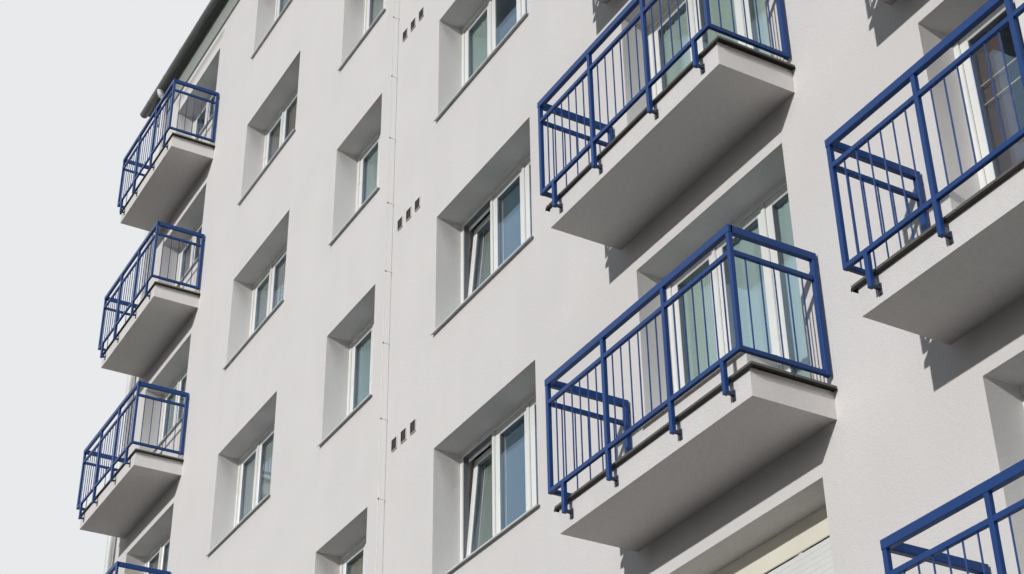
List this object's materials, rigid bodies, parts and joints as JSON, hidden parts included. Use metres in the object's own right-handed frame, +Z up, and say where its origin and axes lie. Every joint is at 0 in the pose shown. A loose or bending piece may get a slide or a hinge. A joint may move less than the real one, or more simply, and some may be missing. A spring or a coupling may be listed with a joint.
{
  "type": "apartment block",
  "caption": "Rendered apartment block with balconies behind painted steel railings, recessed windows, a low ridged roof, hung gutters and a raised plinth.",
  "frame": {"origin": "on the ground at the centre of the block's overall plan", "axes": "+X along the front to the right, +Y from the front into the building, +Z up"},
  "size_m": [35.92, 12.545, 22.3792],
  "materials": {
    "render": "fine grained off-white wall render",
    "plinth_render": "coarse grey-brown plinth render",
    "concrete": "plain concrete",
    "roof_sheet": "grey-green painted sheet with standing seams",
    "fascia_paint": "pale grey-green painted sheet",
    "zinc": "weathered olive-grey zinc",
    "white_pipe": "white painted pipe",
    "conductor_wire": "dull aluminium wire",
    "vent_plastic": "pale grey plastic caps",
    "balcony_floor": "frost-proof floor tiles",
    "dark_sheet": "dark grey coated sheet",
    "blue_steel": "blue gloss paint on steel",
    "white_frame": "white window plastic",
    "glass": "clear double glazing",
    "door_paint": "grey painted door",
    "shutter_plastic": "cream shutter slats"
  },
  "bodies": {
    "root": {"ground_slab": "concrete", "plinth_long_walls": "plinth_render", "plinth_end_walls": "plinth_render", "floor_slabs": "concrete", "front_ring_beams": "render", "rear_ring_beams": "render", "gable_walls": "render", "roof_front_slope": "roof_sheet", "roof_rear_slope": "roof_sheet", "eave_fascias": "fascia_paint", "gutters": "zinc", "downpipes": "white_pipe", "lightning_conductors": "conductor_wire", "vent_caps": "vent_plastic", "balcony_slabs": "render", "balcony_tiles": "balcony_floor", "drip_edges": "dark_sheet", "railing_sides": "blue_steel", "railing_anchors": "blue_steel", "window_sills": "dark_sheet", "wide_window_frames": "white_frame", "narrow_window_frames": "white_frame", "balcony_door_frames": "white_frame", "window_glass": "glass", "door_glass": "glass", "entrance_doors": "door_paint", "roller_shutter": "shutter_plastic", "front_parapets": "render", "front_piers": "render", "rear_parapets": "render", "rear_piers": "render", "entrance_lintels": "render", "railing_fronts_1": "blue_steel", "railing_fronts_2": "blue_steel", "railing_fronts_3": "blue_steel", "railing_fronts_4": "blue_steel"}
  },
  "joints": []
}
